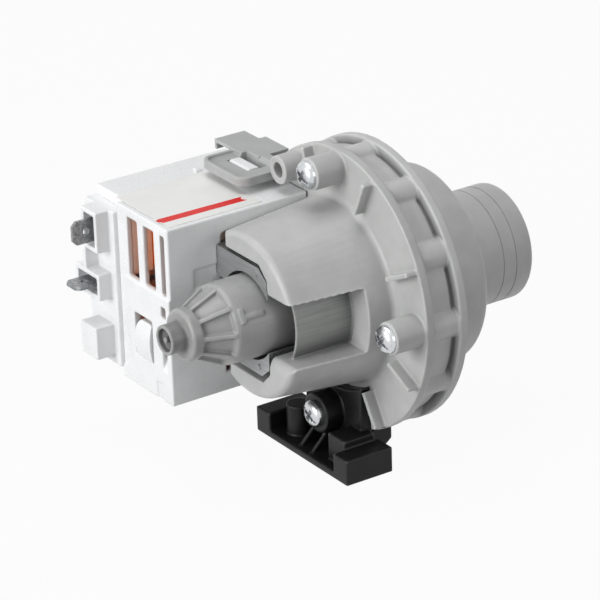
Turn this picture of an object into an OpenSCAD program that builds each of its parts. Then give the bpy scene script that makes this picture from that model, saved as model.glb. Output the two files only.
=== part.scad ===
// Drain pump with a permanent-magnet synchronous motor.
// The pump axis is X. The origin is where the inlet spigot leaves the pump chamber:
// the spigot points along +X, the motor lies along -X, the stator is on the +Y side, Z is up.

/* [Pump chamber and spigots] */
// Outer diameter of the inlet spigot
inlet_d = 30; // [26:0.5:34]
// Length of the inlet spigot
inlet_len = 22; // [16:1:30]
// Wall of the inlet spigot
inlet_wall = 2.2; // [1.6:0.1:3]
// Rounding of the inlet spigot's end
inlet_round = 1.6; // [0.4:0.1:1.6]
// Distance of the first seal line from the root of the spigot
line_start = 12.3; // [8:0.1:13]
// Pitch of the two seal lines
line_pitch = 3.9; // [2:0.1:4]
// Outer diameter of the pump chamber
drum_d = 51.6; // [48:0.4:54]
// Length of the pump chamber in front of its rim
drum_len = 14.6; // [13.6:0.1:18]
// Rounding of the pump chamber's front edge
drum_round = 2; // [0.5:0.1:3]
// Wall of the pump chamber
shell_t = 2.4; // [2:0.1:3]
// Outer diameter of both rims
rim_d = 73; // [71.5:0.5:78]
// Thickness of each rim
rim_t = 2.4; // [2.2:0.1:3.4]
// Width of the channel between the rims
channel_w = 7.5; // [5:0.1:8]
// Outer diameter of the channel floor
channel_d = 68.8; // [68.2:0.2:70]
// Width of the groove between the channel floor and the front rim
groove_by_rim = 0.9; // [0.5:0.1:1.3]
// Depth of that groove
groove_by_rim_h = 1; // [0.4:0.1:1.2]
// Outer diameter of the outlet spigot
outlet_d = 19; // [16:0.5:20]
// Wall of the outlet spigot
outlet_wall = 2.2; // [1.6:0.1:2.6]
// Length of the outlet spigot past its shoulder
outlet_len = 18; // [14:0.5:22]
// Height of the shoulder at the root of the outlet spigot
outlet_step = 0.7; // [0.4:0.1:1]
// Distance of the outlet's shoulder past the rims
outlet_room = 2; // [1.8:0.1:4]
// Width of the rim hook across the pump
hook_w = 12; // [8:1:16]
// Thickness of the rim hook
hook_t = 0.9; // [0.7:0.05:0.95]

/* [Motor housing] */
// Outer diameter of the shroud where it leaves the flange
shroud_root_d = 47; // [45.6:0.2:48]
// Outer diameter of the shroud at its lip
shroud_lip_d = 42.4; // [41:0.2:44]
// Length of the shroud
shroud_len = 27.7; // [26.5:0.1:29]
// Rounding of the shroud's lip
lip_round = 1.6; // [0.6:0.1:2]
// Flare at the root of the shroud
root_flare = 1.6; // [0.5:0.1:2]
// Distance of the stator's flat from the pump axis
flat_y = 12.5; // [12:0.1:12.6]
// Distance of the window's end wall from the flange
window_wall = 7.3; // [6:0.1:8]
// Height of the window above the pump axis
window_up = 9; // [7:0.1:10]
// Depth of the window below the pump axis
window_low = 7.6; // [7:0.1:9]
// Height of the rounding on the lip's lower corner at the window
corner_low = 2.8; // [1:0.1:3.4]
// Length of that rounding along the pump axis
corner_low_x = 1.9; // [1:0.1:3.4]
// Length of the lead at the lip that guides the core in
lead_x = 3.2; // [1:0.1:4]
// Depth of the lead along the flat
lead_y = 4.6; // [1:0.1:5]
// Inner diameter of the sleeve around the pole tips
sleeve_bore = 30.4; // [30.4:0.2:31]
// Wall of the sleeve
sleeve_t = 0.8; // [0.6:0.1:1.2]
// Distance of the sleeve's end behind the lip
sleeve_inset = 4; // [2:0.5:6]
// Half height of the mouth between the pole tips
mouth_half = 7.6; // [7:0.1:9]
// Outer diameter of the rotor well at the flange
well_root_d = 21.8; // [21.4:0.1:22]
// Outer diameter of the rotor well at the nose
well_tip_d = 20.4; // [20:0.1:21.4]
// Bore of the rotor well
well_bore = 19; // [18.6:0.1:19.2]
// Length of the rotor well from the flange to the ribbed nose
well_len = 36.7; // [36:0.1:38]
// Length of the taper at the end of the rotor well
well_taper = 4; // [3:0.1:5]
// Thickness of the stiffening gussets
gusset_t = 1.2; // [0.8:0.1:2]
// Height of the gussets over the flange
gusset_h = 3.1; // [2:0.1:4]
// Inner radius of the gussets
gusset_r0 = 26.5; // [26:0.1:29]
// Outer radius of the gussets
gusset_r1 = 36; // [34:0.1:36]
// Shortening of the gusset beside the top screw
gusset_short = 4; // [2:0.1:5]

/* [Nose] */
// Length of the ribbed cone
cone_len = 7; // [6:0.1:8]
// Radius over the ribs at the nose ring
cone_tip_r = 6.6; // [6.4:0.1:7]
// Depth of the pockets between the ribs
cone_pocket = 1.5; // [0.6:0.1:1.6]
// Number of nose ribs
cone_ribs = 9; // [6:1:12]
// Thickness of the nose ribs
cone_rib_t = 1.1; // [0.8:0.1:2]
// Length of the nose ring
ring_len = 3; // [1.2:0.1:3.4]
// Outer diameter of the tube at the end of the nose
tube_d = 7.6; // [7.4:0.1:9]
// Bore of the tube at the end of the nose
tube_bore = 5.8; // [4:0.1:6]
// Length of the tube at the end of the nose
tube_len = 4.4; // [3.5:0.1:8]
// Depth of the bore in the tube
tube_depth = 1.6; // [0.8:0.1:3]
// Diameter of the moulding pip in the tube
pip_d = 1.5; // [0.8:0.1:2]
// Thickness of the wall behind the rear bearing seat
seat_wall = 2.5; // [1.8:0.1:2.8]
// Bore of the rear bearing seat in the nose
seat_bore = 9; // [8.6:0.1:9.2]

/* [Screws and bosses] */
// Diameter of the screw circle
screw_circle_d = 64; // [63:0.2:65]
// Outer diameter of the screw bosses
boss_d = 8.3; // [7.8:0.1:9]
// Length of the screw bosses over the flange
boss_len = 8.3; // [6:0.1:10]
// Clearance hole of the screw bosses
boss_bore = 3.9; // [3.7:0.1:4.2]
// Outer diameter of the spare boss
spare_d = 7.3; // [6.8:0.1:8]
// Length of the spare boss over the flange
spare_len = 6.7; // [4:0.1:8]
// Thread diameter of the screws
screw_d = 3.2; // [3:0.1:3.5]
// Length of the screws under the head
screw_len = 16; // [14.5:0.5:16.5]
// Head diameter of the screws
head_d = 7; // [6:0.1:8]
// Head height of the screws
head_h = 2.2; // [1.6:0.1:3]
// Width of the slots in the screw heads
slot_w = 1.1; // [0.6:0.1:1.4]
// Depth of the slots in the screw heads
slot_depth = 1.2; // [0.6:0.1:1.5]

/* [Stator latch] */
// Height of the latch plate's top over the pump axis
latch_z = 25.2; // [24.8:0.1:26]
// Thickness of the latch plate
latch_t = 1.6; // [1.2:0.1:1.8]
// Length of the latch plate
latch_len = 15; // [14.5:0.1:18]
// Near edge of the latch plate
latch_y0 = 19.9; // [19.9:0.1:20.5]
// Far edge of the latch plate
latch_y1 = 39; // [37:0.1:40]
// Far edge of the grip bar
grip_y1 = 46.8; // [44:0.1:48]
// Width of the grip bar along the pump axis
grip_w = 9.2; // [7:0.1:11]
// Distance of the grip bar from the flange
grip_x = 5.4; // [4:0.1:6]
// Near edge of the plate's ear beside the rims
ear_y = 29.6; // [29.4:0.1:31]
// Length of the ear past the flange's free face
ear_len = 5.7; // [4.5:0.1:6]
// Height of the grip bar
grip_h = 2.6; // [2:0.1:3.2]
// Wall of the grip bar
grip_t = 0.9; // [0.8:0.1:1.3]
// Corner radius of the latch's free end
latch_round = 3.2; // [2:0.1:3.6]
// Height of the border around the latch plate
border_h = 0.7; // [0.3:0.1:1]
// Width of the border around the latch plate
border_w = 1.1; // [0.8:0.1:1.5]
// Length of the latch window along the pump axis
catch_len = 6.1; // [5:0.1:7]
// Width of the latch window
catch_w = 9.3; // [8:0.1:11]
// Distance of the latch window from the free end
catch_inset = 5.4; // [4:0.1:6]
// Distance of the latch window from the near edge
catch_y = 5.4; // [4.6:0.1:6]

/* [Rotor] */
// Diameter of the rotor shaft
shaft_d = 3; // [2.6:0.1:3.2]
// Outer diameter of the magnet
magnet_d = 17.2; // [16.4:0.1:17.4]
// Inner diameter of the magnet
magnet_bore = 10; // [8:0.5:12]
// Length of the magnet
magnet_len = 20; // [18:0.5:21]
// Thickness of the hub flanges at the magnet's ends
hub_flange = 1.2; // [0.8:0.1:1.4]
// Thickness of the thrust washer
washer_t = 0.8; // [0.5:0.1:1]
// Outer diameter of the thrust washer
washer_d = 7.2; // [6:0.1:8]

/* [Bearings and seals] */
// Outer diameter of the rear bearing
rear_d = 6.4; // [6:0.1:7]
// Length of both bearings
bearing_len = 5; // [4:0.1:5.2]
// Outer diameter of the front bearing
front_d = 8; // [7:0.1:8.4]
// Outer diameter of the bearing plate
plate_d = 32; // [30:0.5:36]
// Thickness of the bearing plate
plate_t = 1.5; // [1.2:0.1:1.8]
// Depth of the bearing plate's hub in the rotor well
plate_hub = 7; // [6.6:0.1:7.2]
// Outer diameter of the shaft seal
seal_d = 10; // [9.4:0.1:11]
// Length of the shaft seal
seal_len = 4; // [3.4:0.1:4.4]
// Mean diameter of the joint's O-ring
oring_d = 55; // [54:0.2:56]
// Thickness of the joint's O-ring
oring_t = 2.2; // [1.8:0.1:2.4]
// Squeeze of the O-ring in its groove
oring_squeeze = 0.2; // [0.1:0.05:0.4]

/* [Impeller] */
// Diameter over the impeller blades
impeller_d = 39; // [34:0.5:42]
// Length of the impeller blades along the pump axis
blade_len = 11.5; // [9:0.1:12.5]
// Thickness of the impeller blades
blade_t = 1.6; // [1.2:0.1:2.4]
// Number of impeller blades
blade_n = 4; // [3:1:6]
// Thickness of the impeller's back disc
disc_t = 1.4; // [1:0.1:1.8]
// Gap between the bearing plate and the impeller
impeller_gap = 2.6; // [2.3:0.1:3]
// Outer diameter of the impeller hub
hub_d = 12.8; // [12.4:0.1:15]
// Diameter of the dog chamber in the hub
dog_bore = 10; // [9:0.1:10.4]
// Length of the dog chamber
dog_len = 6.7; // [5:0.1:7.5]
// Thickness of the hub's front wall
hub_front = 3.4; // [2.5:0.1:4]
// Angle of each driving dog
dog_angle = 80; // [60:5:90]
// Diameter of the drive dog's hub
dog_hub_d = 5.8; // [5.2:0.1:6]
// Diameter of the impeller's retaining washer
keeper_d = 7; // [6:0.1:8]
// Thickness of the impeller's retaining washer
keeper_t = 0.8; // [0.6:0.1:1]

/* [Stator core] */
// Length of the lamination stack along the pump axis
stack_len = 18; // [16:0.5:18.2]
// Height of the core across both poles
core_h = 28.6; // [28:0.1:29]
// Width of each pole
pole_w = 8; // [7:0.1:8.2]
// Bore of the core around the rotor well
core_bore = 22.4; // [22.4:0.1:22.8]
// Reach of the pole tips past the pump axis
tip_reach = 8.8; // [8:0.1:9]
// Length of the chamfer on the pole tips
tip_chamfer = 3.4; // [2.5:0.1:4]
// Drop of the chamfer on the pole tips
tip_drop = 2.7; // [2:0.1:3]
// Distance of the yoke from the pump axis
yoke_y = 35; // [34.8:0.1:35.2]
// Depth of the yoke
yoke_d = 8; // [7:0.1:8.5]
// Diameter of the core rivets
rivet_d = 1.6; // [1.2:0.1:2]
// Height of the rivet heads
rivet_h = 0.3; // [0.2:0.05:0.4]

/* [Coils and bobbins] */
// Wall of the bobbins
bobbin_t = 0.9; // [0.7:0.1:1]
// Thickness of the bobbin flanges
bobbin_flange = 1; // [0.8:0.1:1.2]
// Distance of the bobbins' front flange from the pump axis
bobbin_y = 14.5; // [14.4:0.1:14.8]
// Room between the bobbins and the yoke
bobbin_room = 0.5; // [0.3:0.1:2]
// Thickness of the windings above and below the poles
coil_t = 4.2; // [3:0.1:4.3]
// Thickness of the windings at the ends of the stack
coil_end_t = 6; // [5:0.1:6.2]
// Corner radius of the windings
coil_round = 3.6; // [2:0.1:4]
// Diameter of the thermal cutout
cutout_d = 4; // [3:0.1:4.4]
// Length of the thermal cutout
cutout_len = 11; // [8:0.5:12]

/* [Stator cover] */
// Room between the thermal cutout and the cover's end wall
end_room = 1.7; // [1:0.1:2.2]
// Room between the core and the cover's back wall
back_room = 5.2; // [4.8:0.1:6.4]
// Room between the bobbins and the cover's top wall
top_room = 0.3; // [0.2:0.1:0.8]
// Room between the bobbins and the cover's bottom wall
bottom_room = 4.2; // [3.4:0.1:5.8]
// Wall of the stator cover
cover_t = 1.4; // [1.2:0.05:1.45]
// Gap between the stator cover and the flange
cover_gap = 0.4; // [0.3:0.1:1.5]
// Setback of the terminal corner
corner_in = 2.5; // [2:0.1:3]
// Depth of the terminal corner
corner_d = 13.4; // [12.5:0.1:14]
// Front end of the front wall's opening
front_open = 1.3; // [1:0.1:2]
// Top of the front wall's opening
front_top = 17.2; // [16.4:0.1:17.6]
// Rounding of the front wall's opening
front_round = 1.2; // [0.4:0.1:1.4]
// Bottom of the front wall's opening
front_bottom = 16; // [15.8:0.1:17]
// Top of the cooling slots
slot_top = 19.2; // [18:0.1:19.6]
// Bottom of the cooling slots
slot_bottom = 3.4; // [3:0.1:6]
// Widths of the wide cooling slots
slot_wide = 4.7; // [3:0.1:5]
// Width of the narrow cooling slot
slot_narrow = 1.9; // [1:0.1:2.2]
// Distance of the narrow cooling slot from the front face
slot_first = 1.8; // [1.6:0.1:2.2]
// Width of the bars between the cooling slots
slot_bar = 2.9; // [2:0.1:3.2]
// Distance of the narrow vents from the front face
vent_y = 1.9; // [1.5:0.1:2.2]
// Width of the narrow vents
vent_w = 2.1; // [1:0.1:2.4]
// Top of the upper narrow vent over the pump axis
vent_top = 0.4; // [0:0.1:1]
// Height of the upper narrow vent
vent_h = 3; // [2:0.1:4]
// Top of the lower narrow vent below the pump axis
vent_low = 11; // [9:0.1:12]
// Height of the lower narrow vent
vent_low_h = 6.4; // [4:0.1:7]
// Distance of the front face's square hole from the core's end
hole_x = 1.4; // [1.3:0.1:2]
// Width of the square hole
hole_w = 1.6; // [1:0.1:2]
// Top of the square hole below the pump axis
hole_top = 18; // [17.6:0.1:19]
// Height of the square hole
hole_h = 2.4; // [1.5:0.1:3]
// Distance of the front face's recess from the cover's end
recess_x = 7.1; // [6:0.1:8]
// Bottom of the recess over the pump axis
recess_z = 4.2; // [3:0.1:5]
// Height of the recess
recess_h = 5.2; // [4:0.1:6]
// Depth of the recess
recess_t = 0.4; // [0.2:0.1:0.6]
// Thickness of the raised lower panel
panel_t = 0.5; // [0.3:0.1:0.8]
// Far edge of the raised lower panel
panel_y = 33.6; // [32.6:0.1:34.4]
// Setback of the panel's far edge below its step
panel_in = 2.2; // [1:0.1:2.6]
// Height of the panel's step below the pump axis
panel_step = 13.4; // [12:0.1:15]
// Height of the panel's wide lower end
panel_foot = 3; // [2:0.1:4]
// Width of the groove in the panel's lower edge
groove_w = 3; // [1:0.1:3]
// Height of the groove in the panel's lower edge
groove_h = 4.6; // [3:0.1:5]
// Near edge of the snap window
snap_y = 21.2; // [20.4:0.1:21.8]
// Width of the snap window
snap_w = 8.2; // [7:0.1:9]
// Top of the snap window below the pump axis
snap_top = 5.4; // [4:0.1:7]
// Height of the snap window
snap_h = 11.4; // [10:0.1:13]
// Side gap of the snap tongue
snap_gap = 0.6; // [0.4:0.1:1]
// Gap over the snap tongue
snap_over = 1.2; // [0.8:0.1:2]
// Narrowing of the snap tongue towards its far upper corner
snap_narrow = 2.6; // [1:0.1:3]
// Swell of the snap tongue over the panel
snap_swell = 0.8; // [0.4:0.1:1.2]
// Height of the catch nib
nib_h = 3.9; // [3.4:0.1:4.2]
// Length of the catch nib's flat top
nib_flat = 2.6; // [1:0.1:2.8]
// Clearance of the catch nib in the latch window
nib_gap = 0.3; // [0.2:0.05:0.5]
// Depth of the label's recess
label_t = 0.3; // [0.2:0.05:0.5]
// Length of the label
label_len = 27.5; // [20:0.5:28]
// Depth of the label
label_w = 25.4; // [20:0.2:26]
// Margin of the label at the cover's edges
label_margin = 1.4; // [1:0.1:2]

/* [Terminals] */
// Width of the tab terminals
tab_w = 6.3; // [4.8:0.1:6.3]
// Thickness of the tab terminals
tab_t = 0.8; // [0.5:0.1:0.8]
// Reach of the tabs past the terminal housing
tab_reach = 8.8; // [8:0.1:9.5]
// Depth of the tabs inside the stator
tab_root = 5; // [3:0.1:6]
// Diameter of the hole in the tabs
tab_hole = 1.8; // [1.4:0.1:2]
// Distance of the hole from the tab's end
tab_hole_x = 4; // [3:0.1:5]
// Chamfer of the tab's corners
tab_chamfer = 1.2; // [0.8:0.1:1.6]
// Thickness of the terminal housing's column
column_t = 3.6; // [1.4:0.1:4]
// Top of the terminal column
column_top = 18.9; // [18.6:0.1:19.5]
// Height of the slit in the terminal column over the pump axis
slit_z = 5.2; // [4:0.1:6]
// Width of the slit
slit_t = 0.4; // [0.2:0.1:0.6]
// Length of the slit
slit_len = 4.8; // [3:0.1:6]
// Reach of the terminal shields
shield_len = 3.9; // [3:0.1:5]
// Wall of the terminal shields
shield_t = 1.2; // [0.8:0.1:1.3]
// Depth of the upper shield
shield_up_w = 7.2; // [6.4:0.1:8]
// Height of the upper shield
shield_up_h = 10.8; // [9.5:0.1:11.5]
// Depth of the lower shield
shield_low_w = 11.4; // [10.4:0.1:11.4]
// Height of the lower shield
shield_low_h = 6.9; // [6:0.1:8]
// Top of the lower shield
shield_low_top = 2.2; // [1:0.1:3]
// Depth of the blank block
blank_w = 7.5; // [6:0.1:9]
// Height of the blank block
blank_h = 8.6; // [7:0.1:10]
// Top of the blank block below the pump axis
blank_top = 11.8; // [10:0.1:13]
// Reach of the blank block
blank_len = 5.5; // [4:0.1:7]

/* [Foot] */
// Height of the pump axis over the floor
axis_h = 43; // [42:0.1:46]
// Length of the foot across the pump
foot_len = 40; // [36:0.5:48]
// Width of the foot along the pump axis
foot_w = 13.8; // [12:0.1:15]
// Thickness of the foot plate
foot_t = 1.8; // [1.4:0.1:3]
// Length of the end blocks
block_len = 5.9; // [4:0.1:8]
// Height of the end blocks
block_h = 6.8; // [5:0.1:7.5]
// Height of the step over the end block
step_h = 2.2; // [1:0.1:3]
// Length of the step
step_len = 6.6; // [5:0.1:8]
// Setback of the step
step_in = 3.2; // [2:0.1:4]
// Thickness of the upright web
web_t = 3; // [2:0.1:4]
// Half width of the upright web
web_half = 12.2; // [11:0.1:12.5]
// Outer diameter of the foot's screw ring
ring_d = 10.2; // [9:0.1:11]
// Thickness of the two struts
strut_t = 1; // [0.8:0.1:1.6]
// Distance of the struts from the middle
strut_y = 2.5; // [1.8:0.1:3.5]
// Outer diameter of the screw post
post_d = 6.2; // [5.6:0.1:7]
// Distance of the screw post from the middle
post_y = 9.5; // [9:0.1:10]
// Height of the screw post over the foot plate
post_h = 8.2; // [6:0.1:9]
// Bore of the screw post
post_bore = 3.4; // [2.5:0.1:4]
// Length of the arm under the rims
arm_len = 5.6; // [4:0.1:8]
// Height of the arm over the rims' lowest point
arm_up = 6; // [4:0.1:8]
// Drop of the arm's end below the rims' lowest point
arm_drop = 2; // [1:0.1:3]
// Half width of the arm under the rims
arm_half = 12; // [8:0.1:13]

/* [Clearances] */
// Clearance between fitted parts
fit = 0.02; // [0.01:0.01:0.03]
// Running clearance of the bearings
run = 0.04; // [0.02:0.01:0.06]
// Free clearance between parts that don't touch
free = 0.3; // [0.2:0.05:0.3]
// Free clearance around the core in its pocket
pocket_gap = 1.3; // [0.5:0.1:1.4]

/* [Hidden] */
$fn = 72;
SCREW_ANGLES = [90, 180, 270];
SPARE_ANGLE = 60;
GUSSETS = [[73, gusset_short], [115, 0], [155, 0], [205, 0], [240, 0]];
TOWER_PITCH = 30;
RIB_START = 16;
x_drum = -drum_len;
x_rim = x_drum - rim_t;
x_joint = x_rim - channel_w;
x_face = x_joint - rim_t;
x_lip = x_face - shroud_len;
x_core = x_lip + 0.5;
x_core_end = x_core + stack_len;
x_core_mid = x_core + stack_len / 2;
x_nose = x_face - well_len;
x_ring = x_nose - cone_len;
x_tube = x_ring - ring_len;
x_tip = x_tube - tube_len;
x_head = x_face - boss_len;
x_plate = x_joint - plate_t;
x_hub = x_plate - plate_hub;
x_magnet = x_core_mid - magnet_len / 2;
x_magnet_end = x_magnet + magnet_len;
x_seat = x_tube + seat_wall;
x_impeller = x_joint + impeller_gap;
x_dog = x_impeller + disc_t;
x_dog_end = x_dog + dog_len;
x_impeller_end = x_dog_end + hub_front;
x_cover_end = x_face - cover_gap;
x_coil = x_core - fit - bobbin_t - coil_end_t;
x_cutout = x_coil - fit - cutout_d / 2;
x_cover = x_cutout - cutout_d / 2 - end_room - cover_t;
x_corner = x_cover + corner_in;
x_column = x_corner - column_t;
x_shield = x_column - shield_len;
x_tab = x_column - tab_reach;
x_foot_end = x_face + 0.8;
x_foot = x_foot_end - foot_w;
x_latch = x_face - latch_len;
rim_r = rim_d / 2;
chamber_r = drum_d / 2 - shell_t;
screw_r = screw_circle_d / 2;
outlet_bore_r = outlet_d / 2 - outlet_wall;
outlet_x = -outlet_d / 2 - outlet_step;
outlet_root = rim_r + outlet_room;
outlet_end = outlet_root + outlet_len;
outlet_z = -(chamber_r - outlet_bore_r);
shroud_root_r = shroud_root_d / 2;
shroud_lip_r = shroud_lip_d / 2;
sleeve_r = sleeve_bore / 2;
well_bore_r = well_bore / 2;
cone_root_r = well_tip_d / 2;
seat_r = seat_bore / 2;
shaft_r = shaft_d / 2;
shaft_end = x_impeller_end + keeper_t + 0.6;
core_z = core_h / 2;
pole_z = core_z - pole_w;
pocket_z = core_z + pocket_gap;
y_front = flat_y + free;
y_back = yoke_y + yoke_d + back_room + cover_t;
y_corner = y_back - corner_d;
y_shield = y_corner + 2;
bobbin_in_z = pole_z - fit - bobbin_t;
bobbin_out_z = core_z + fit + bobbin_t;
bobbin_len = yoke_y - bobbin_room - bobbin_y;
bobbin_x0 = x_core - fit - bobbin_t;
bobbin_x1 = x_core_end + fit + bobbin_t;
flange_over = 0.4;
winding_top = bobbin_out_z + coil_t + flange_over;
cover_top = winding_top + top_room + cover_t;
cover_bottom = winding_top + bottom_room + cover_t;
catch_x0 = x_latch + catch_inset;
catch_y0 = latch_y0 + catch_y;
snap_bottom = -snap_top - snap_h;
rivet_y = [-tip_reach + tip_chamfer + 1.2, yoke_y + yoke_d / 2];
rivet_z = [core_z - rivet_d * 1.2, core_z - pole_w / 2];

// A cylinder along the pump axis from x0 to x1
module along(x0, x1, r) {
  translate([x0, 0, 0]) rotate([0, 90, 0]) cylinder(h = x1 - x0, r = r);
}

// A ring along the pump axis
module ring(x0, x1, r_in, r_out) {
  difference() {
    along(x0, x1, r_out);
    along(x0 - 1, x1 + 1, r_in);
  }
}

// A solid of revolution about the pump axis from a list of [x, r]
module turned(pts) {
  rotate([0, 90, 0]) rotate_extrude() polygon([for (p = pts) [p[1], p[0]]]);
}

// Children are moved to a radius and an angle about the pump axis, 0 at +Y and 90 at +Z
module polar(angle, r) {
  translate([0, r * cos(angle), r * sin(angle)]) children();
}

// A YZ outline extruded from x0 to x1
module yz(x0, x1) {
  translate([x0, 0, 0]) rotate([90, 0, 90]) linear_extrude(x1 - x0) children();
}

// An XZ outline extruded from y0 to y1
module xz(y0, y1) {
  translate([0, y1, 0]) rotate([90, 0, 0]) linear_extrude(y1 - y0) children();
}

// A box between two corners
module block(a, b) {
  translate(a) cube(b - a);
}

// A rectangle with round corners between two corners
module round_rect(a, b, r) {
  translate([a[0] + r, a[1]]) square([b[0] - a[0] - 2 * r, b[1] - a[1]]);
  translate([a[0], a[1] + r]) square([b[0] - a[0], b[1] - a[1] - 2 * r]);
  for (x = [a[0] + r, b[0] - r], y = [a[1] + r, b[1] - r]) translate([x, y]) circle(r);
}

// Points of a quarter round of radius r about [x, y], from one angle to another
function arc(x, y, r, a0, a1, n = 6) =
  [for (i = [0:n]) [x + r * cos(a0 + (a1 - a0) * i / n), y + r * sin(a0 + (a1 - a0) * i / n)]];

// A sector of a ring about the pump axis, centred on an angle
module sector(x0, x1, r_in, r_out, mid, width) {
  translate([x0, 0, 0]) rotate([mid - width / 2, 0, 0]) rotate([90, 0, 90])
    rotate_extrude(angle = width) translate([r_in, 0]) square([r_out - r_in, x1 - x0]);
}

module volute_housing() {
  color("#a6a9a8") difference() {
    union() {
      along(x_rim, x_drum, rim_r);
      along(x_joint, x_rim - groove_by_rim, channel_d / 2);
      along(x_rim - groove_by_rim - 0.5, x_rim + 0.5, channel_d / 2 - groove_by_rim_h);
      turned(concat([[x_drum, 0], [x_drum, drum_d / 2]],
                    arc(-drum_round, drum_d / 2 - drum_round, drum_round, 90, 0), [[0, 0]]));
      turned(concat([[-1, 0], [-1, inlet_d / 2]],
                    arc(inlet_len - inlet_round, inlet_d / 2 - inlet_round, inlet_round, 90, 0),
                    [[inlet_len, 0]]));
      for (a = [0:TOWER_PITCH:359]) polar(a, screw_r) along(x_joint, x_rim, boss_d / 2);
      translate([outlet_x, 0, outlet_z]) rotate([-90, 0, 0]) cylinder(h = outlet_end, r = outlet_d / 2);
      translate([outlet_x, 0, outlet_z]) rotate([-90, 0, 0])
        cylinder(h = outlet_root, r = outlet_d / 2 + outlet_step);
      rim_hook();
    }
    along(x_joint - 1, -shell_t, chamber_r);
    along(-shell_t - 1, inlet_len + 1, inlet_d / 2 - inlet_wall);
    translate([outlet_x, 0, outlet_z]) rotate([-90, 0, 0])
      cylinder(h = outlet_end + 1, r = outlet_bore_r);
    ring(x_joint - 1, x_joint + oring_t - oring_squeeze, oring_d / 2 - oring_t / 2 - fit,
         oring_d / 2 + oring_t / 2 + fit);
    for (i = [0:1]) ring(line_start + i * line_pitch, line_start + i * line_pitch + 0.25,
                         inlet_d / 2 - 0.15, inlet_d / 2 + 1);
    for (a = concat(SCREW_ANGLES, [SPARE_ANGLE])) polar(a, screw_r)
      along(x_joint - 1, x_joint + screw_len - boss_len - rim_t + 0.6, screw_d / 2 + fit);
    for (a = [0:TOWER_PITCH:359])
      sector(x_joint - 1, x_rim - groove_by_rim - 1.3, oring_d / 2 + oring_t / 2 + 1.1,
             channel_d / 2 - 1.6, a + TOWER_PITCH / 2, TOWER_PITCH / 2 - 2);
  }
}

// The hook at the back of the joint, which grips the motor flange where no screw can reach
module rim_hook() {
  block([x_face - fit - hook_t, rim_r - 2, -hook_w / 2], [x_face - fit, rim_r + 1.6, hook_w / 2]);
  block([x_face - fit - hook_t, rim_r + 0.2, -hook_w / 2], [x_rim + 1, rim_r + 1.6, hook_w / 2]);
  block([x_rim, rim_r - 2, -hook_w / 2], [x_drum, rim_r + 1.6, hook_w / 2]);
}

// Outline of the pocket for the pole tips, open to the stator
module pocket_outline() {
  tip = tip_reach + 1.1;
  polygon([[flat_y + 1, pocket_z], [-tip + tip_chamfer + 0.2, pocket_z], [-tip + 0.3, pocket_z - tip_drop - 0.5],
           [-tip, mouth_half], [-tip, -mouth_half], [-tip + 0.3, -pocket_z + tip_drop + 0.5],
           [-tip + tip_chamfer + 0.2, -pocket_z], [flat_y + 1, -pocket_z]]);
}

module shroud() {
  difference() {
    turned(concat([[x_face + 0.5, 0], [x_face + 0.5, shroud_root_r + root_flare]],
                  [for (i = [0:6]) [x_face - root_flare * (1 - cos(i * 15)),
                                    shroud_root_r + root_flare * (1 - sin(i * 15))]],
                  arc(x_lip + lip_round, shroud_lip_r - lip_round, lip_round, 90, 180),
                  [[x_lip, 0]]));
    yz(x_lip - 1, x_core_end + 0.2) pocket_outline();
    difference() {
      along(x_lip - 1, x_core_end + 0.2, sleeve_r);
      block([x_lip - 2, -sleeve_r, mouth_half], [x_face, sleeve_r, sleeve_r + 1]);
      block([x_lip - 2, -sleeve_r, -sleeve_r - 1], [x_face, sleeve_r, -mouth_half]);
    }
    difference() {
      block([x_lip - 1, -rim_r, -window_low], [x_face - window_wall, 0, window_up]);
      along(x_lip - 2, x_face, sleeve_r + sleeve_t);
    }
    block([x_lip - 1, -rim_r, -window_low], [x_lip + sleeve_inset, 0, window_up]);
    block([x_lip - 1, flat_y, -rim_r], [x_face, rim_r, rim_r]);
    translate([0, 0, -rim_r]) linear_extrude(2 * rim_r)
      polygon([[x_lip - 1, flat_y - lead_y * (1 + 1 / lead_x)], [x_lip - 1, flat_y + 1],
               [x_lip + lead_x * (1 + 1 / lead_y), flat_y + 1]]);
    lower_corner();
  }
}

// What rounds the lip's lower corner at the window
module lower_corner() {
  xz(-rim_r, 0) difference() {
    translate([x_lip - 1, -window_low - corner_low]) square([corner_low_x + 1, corner_low + 0.2]);
    translate([x_lip + corner_low_x, -window_low - corner_low]) scale([corner_low_x, corner_low]) circle(1);
  }
}

module nose() {
  pocket = cone_pocket;
  turned(concat([[x_face, 0], [x_face, well_root_d / 2], [x_nose + 1, cone_root_r],
                 [x_nose + 0.3, cone_root_r - 0.3], [x_nose, cone_root_r - 1],
                 [x_nose, cone_root_r - pocket], [x_ring, cone_tip_r - pocket + 0.4],
                 [x_ring, cone_tip_r - 0.2], [x_ring - 0.3, cone_tip_r]],
                arc(x_tube + 0.9, cone_tip_r - 0.9, 0.9, 90, 180),
                [[x_tube, tube_d / 2], [x_tip, tube_d / 2], [x_tip, 0]]));
  for (i = [0:cone_ribs - 1]) rotate([RIB_START + i * 360 / cone_ribs, 0, 0])
    translate([0, 0, -cone_rib_t / 2]) linear_extrude(cone_rib_t)
      polygon([[x_nose + 0.5, 0], [x_nose + 0.5, cone_root_r - 0.2], [x_nose, cone_root_r - 0.2],
               [x_ring - 0.3, cone_tip_r - 0.1], [x_ring - 0.3, 0]]);
}

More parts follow.
